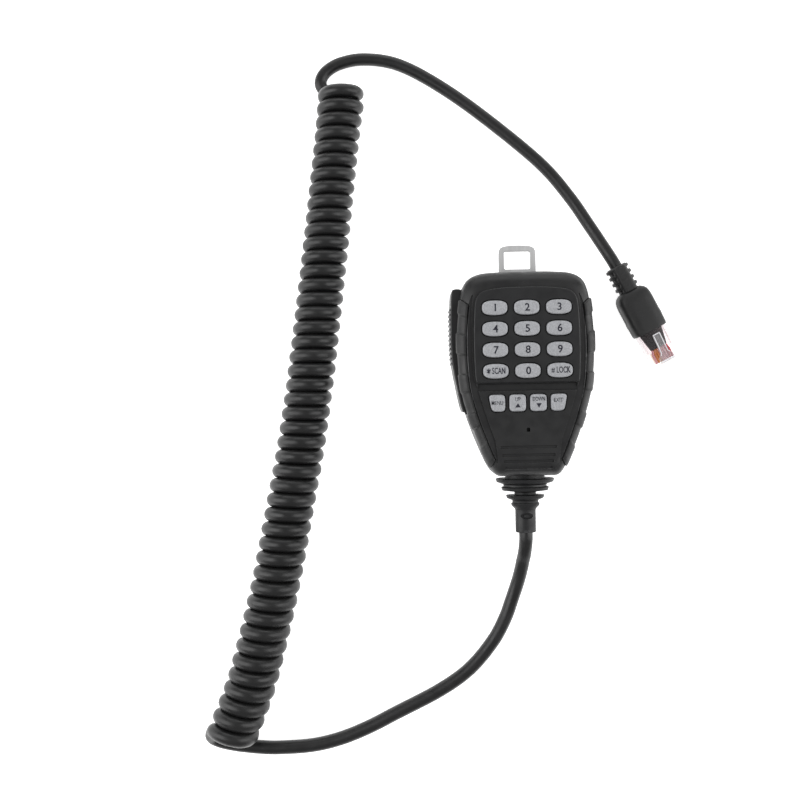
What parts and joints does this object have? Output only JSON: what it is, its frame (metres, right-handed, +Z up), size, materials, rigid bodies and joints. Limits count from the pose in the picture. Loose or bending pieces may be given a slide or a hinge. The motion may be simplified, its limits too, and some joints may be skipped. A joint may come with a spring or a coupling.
{
  "type": "hand microphone",
  "caption": "Radio hand microphone with a number keypad, side push-to-talk lever, hanger plate, ribbed strain relief, coiled cord and clear modular plug.",
  "frame": {"origin": "on the flat back of the case, on its centre line and halfway along it, so the microphone lies on its back on z = 0", "axes": "+Y along the case towards the hanger plate, +X to the right of the keypad as it is read, +Z up out of the keys"},
  "size_m": [0.1925, 0.2866, 0.0295],
  "materials": {
    "case_black": "satin moulded ABS, fine texture",
    "panel_black": "satin, fine texture",
    "rubber_black": "matt",
    "key_grey": "satin light grey, pearl",
    "hanger_steel": "satin",
    "screw_steel": "black zinc",
    "cord_black": "smooth satin PVC",
    "plug_clear": "clear polycarbonate",
    "contact_gold": "gold plated",
    "wire_red": "insulated wire",
    "silicone_grey": "translucent silicone",
    "board_green": "solder mask",
    "chip_black": "moulded epoxy",
    "capsule_metal": "bright"
  },
  "bodies": {
    "root": {"audio_chip": "chip_black", "capsule_boot": "silicone_grey", "case_screw_1": "screw_steel", "case_screw_2": "screw_steel", "case_screw_3": "screw_steel", "case_screw_4": "screw_steel", "circuit_board": "board_green", "coiled_cord": "cord_black", "controller_chip": "chip_black", "cord_conductors": "wire_red", "cord_connector": "silicone_grey", "cord_grommet": "rubber_black", "filter_capacitor": "capsule_metal", "front_shell": "case_black", "hanger_plate": "hanger_steel", "hanger_screw_1": "screw_steel", "hanger_screw_2": "screw_steel", "keypad_bezel": "panel_black", "keypad_mat": "silicone_grey", "mic_lead": "cord_black", "microphone_capsule": "capsule_metal", "plug_body": "plug_clear", "plug_boot": "rubber_black", "plug_conductors": "wire_red", "plug_contact_1": "contact_gold", "plug_contact_2": "contact_gold", "plug_contact_3": "contact_gold", "plug_contact_4": "contact_gold", "plug_contact_5": "contact_gold", "plug_contact_6": "contact_gold", "plug_contact_7": "contact_gold", "plug_contact_8": "contact_gold", "plug_jacket_end": "cord_black", "plug_lead": "cord_black", "ptt_pivot_pin": "screw_steel", "ptt_switch": "chip_black", "rear_shell": "case_black", "side_grip_left": "rubber_black", "side_grip_right": "rubber_black"},
    "key_0": {"key_0": "key_grey"},
    "key_1": {"key_1": "key_grey"},
    "key_2": {"key_2": "key_grey"},
    "key_3": {"key_3": "key_grey"},
    "key_4": {"key_4": "key_grey"},
    "key_5": {"key_5": "key_grey"},
    "key_6": {"key_6": "key_grey"},
    "key_7": {"key_7": "key_grey"},
    "key_8": {"key_8": "key_grey"},
    "key_9": {"key_9": "key_grey"},
    "key_down": {"key_down": "key_grey"},
    "key_exit": {"key_exit": "key_grey"},
    "key_hash": {"key_hash": "key_grey"},
    "key_menu": {"key_menu": "key_grey"},
    "key_star": {"key_star": "key_grey"},
    "key_up": {"key_up": "key_grey"},
    "ptt_lever": {"ptt_lever": "case_black"},
    "ptt_plunger": {"ptt_plunger": "case_black"},
    "plug_latch": {"plug_latch": "plug_clear"}
  },
  "joints": [
    {"name": "press_0", "type": "slide", "parent": "root", "child": "key_0", "axis": [0, 0, -1], "range_m": [0, 0.0008], "stiffness_N_per_m": 1500},
    {"name": "press_1", "type": "slide", "parent": "root", "child": "key_1", "axis": [0, 0, -1], "range_m": [0, 0.0008], "stiffness_N_per_m": 1500},
    {"name": "press_2", "type": "slide", "parent": "root", "child": "key_2", "axis": [0, 0, -1], "range_m": [0, 0.0008], "stiffness_N_per_m": 1500},
    {"name": "press_3", "type": "slide", "parent": "root", "child": "key_3", "axis": [0, 0, -1], "range_m": [0, 0.0008], "stiffness_N_per_m": 1500},
    {"name": "press_4", "type": "slide", "parent": "root", "child": "key_4", "axis": [0, 0, -1], "range_m": [0, 0.0008], "stiffness_N_per_m": 1500},
    {"name": "press_5", "type": "slide", "parent": "root", "child": "key_5", "axis": [0, 0, -1], "range_m": [0, 0.0008], "stiffness_N_per_m": 1500},
    {"name": "press_6", "type": "slide", "parent": "root", "child": "key_6", "axis": [0, 0, -1], "range_m": [0, 0.0008], "stiffness_N_per_m": 1500},
    {"name": "press_7", "type": "slide", "parent": "root", "child": "key_7", "axis": [0, 0, -1], "range_m": [0, 0.0008], "stiffness_N_per_m": 1500},
    {"name": "press_8", "type": "slide", "parent": "root", "child": "key_8", "axis": [0, 0, -1], "range_m": [0, 0.0008], "stiffness_N_per_m": 1500},
    {"name": "press_9", "type": "slide", "parent": "root", "child": "key_9", "axis": [0, 0, -1], "range_m": [0, 0.0008], "stiffness_N_per_m": 1500},
    {"name": "press_down", "type": "slide", "parent": "root", "child": "key_down", "axis": [0, 0, -1], "range_m": [0, 0.0008], "stiffness_N_per_m": 1500},
    {"name": "press_exit", "type": "slide", "parent": "root", "child": "key_exit", "axis": [0, 0, -1], "range_m": [0, 0.0008], "stiffness_N_per_m": 1500},
    {"name": "press_hash", "type": "slide", "parent": "root", "child": "key_hash", "axis": [0, 0, -1], "range_m": [0, 0.0008], "stiffness_N_per_m": 1500},
    {"name": "press_menu", "type": "slide", "parent": "root", "child": "key_menu", "axis": [0, 0, -1], "range_m": [0, 0.0008], "stiffness_N_per_m": 1500},
    {"name": "press_star", "type": "slide", "parent": "root", "child": "key_star", "axis": [0, 0, -1], "range_m": [0, 0.0008], "stiffness_N_per_m": 1500},
    {"name": "press_up", "type": "slide", "parent": "root", "child": "key_up", "axis": [0, 0, -1], "range_m": [0, 0.0008], "stiffness_N_per_m": 1500},
    {"name": "ptt_press", "type": "hinge", "parent": "root", "child": "ptt_lever", "pos_m": [-0.021, -0.012, 0.013], "axis": [0, 0, -1], "range_deg": [0, 3], "stiffness_Nm_per_rad": 1.6},
    {"name": "plunger_slide", "type": "slide", "parent": "root", "child": "ptt_plunger", "axis": [1, 0, 0], "range_m": [0, 0.0012]},
    {"name": "latch_flex", "type": "hinge", "parent": "root", "child": "plug_latch", "pos_m": [0.0589, 0.00494, 0.00965], "axis": [-0.8918, -0.4524, 0], "range_deg": [0, 8], "stiffness_Nm_per_rad": 1}
  ],
  "couplings": [
    {"joint": "plunger_slide", "follows": "ptt_press", "m_per_rad": 0.022}
  ]
}
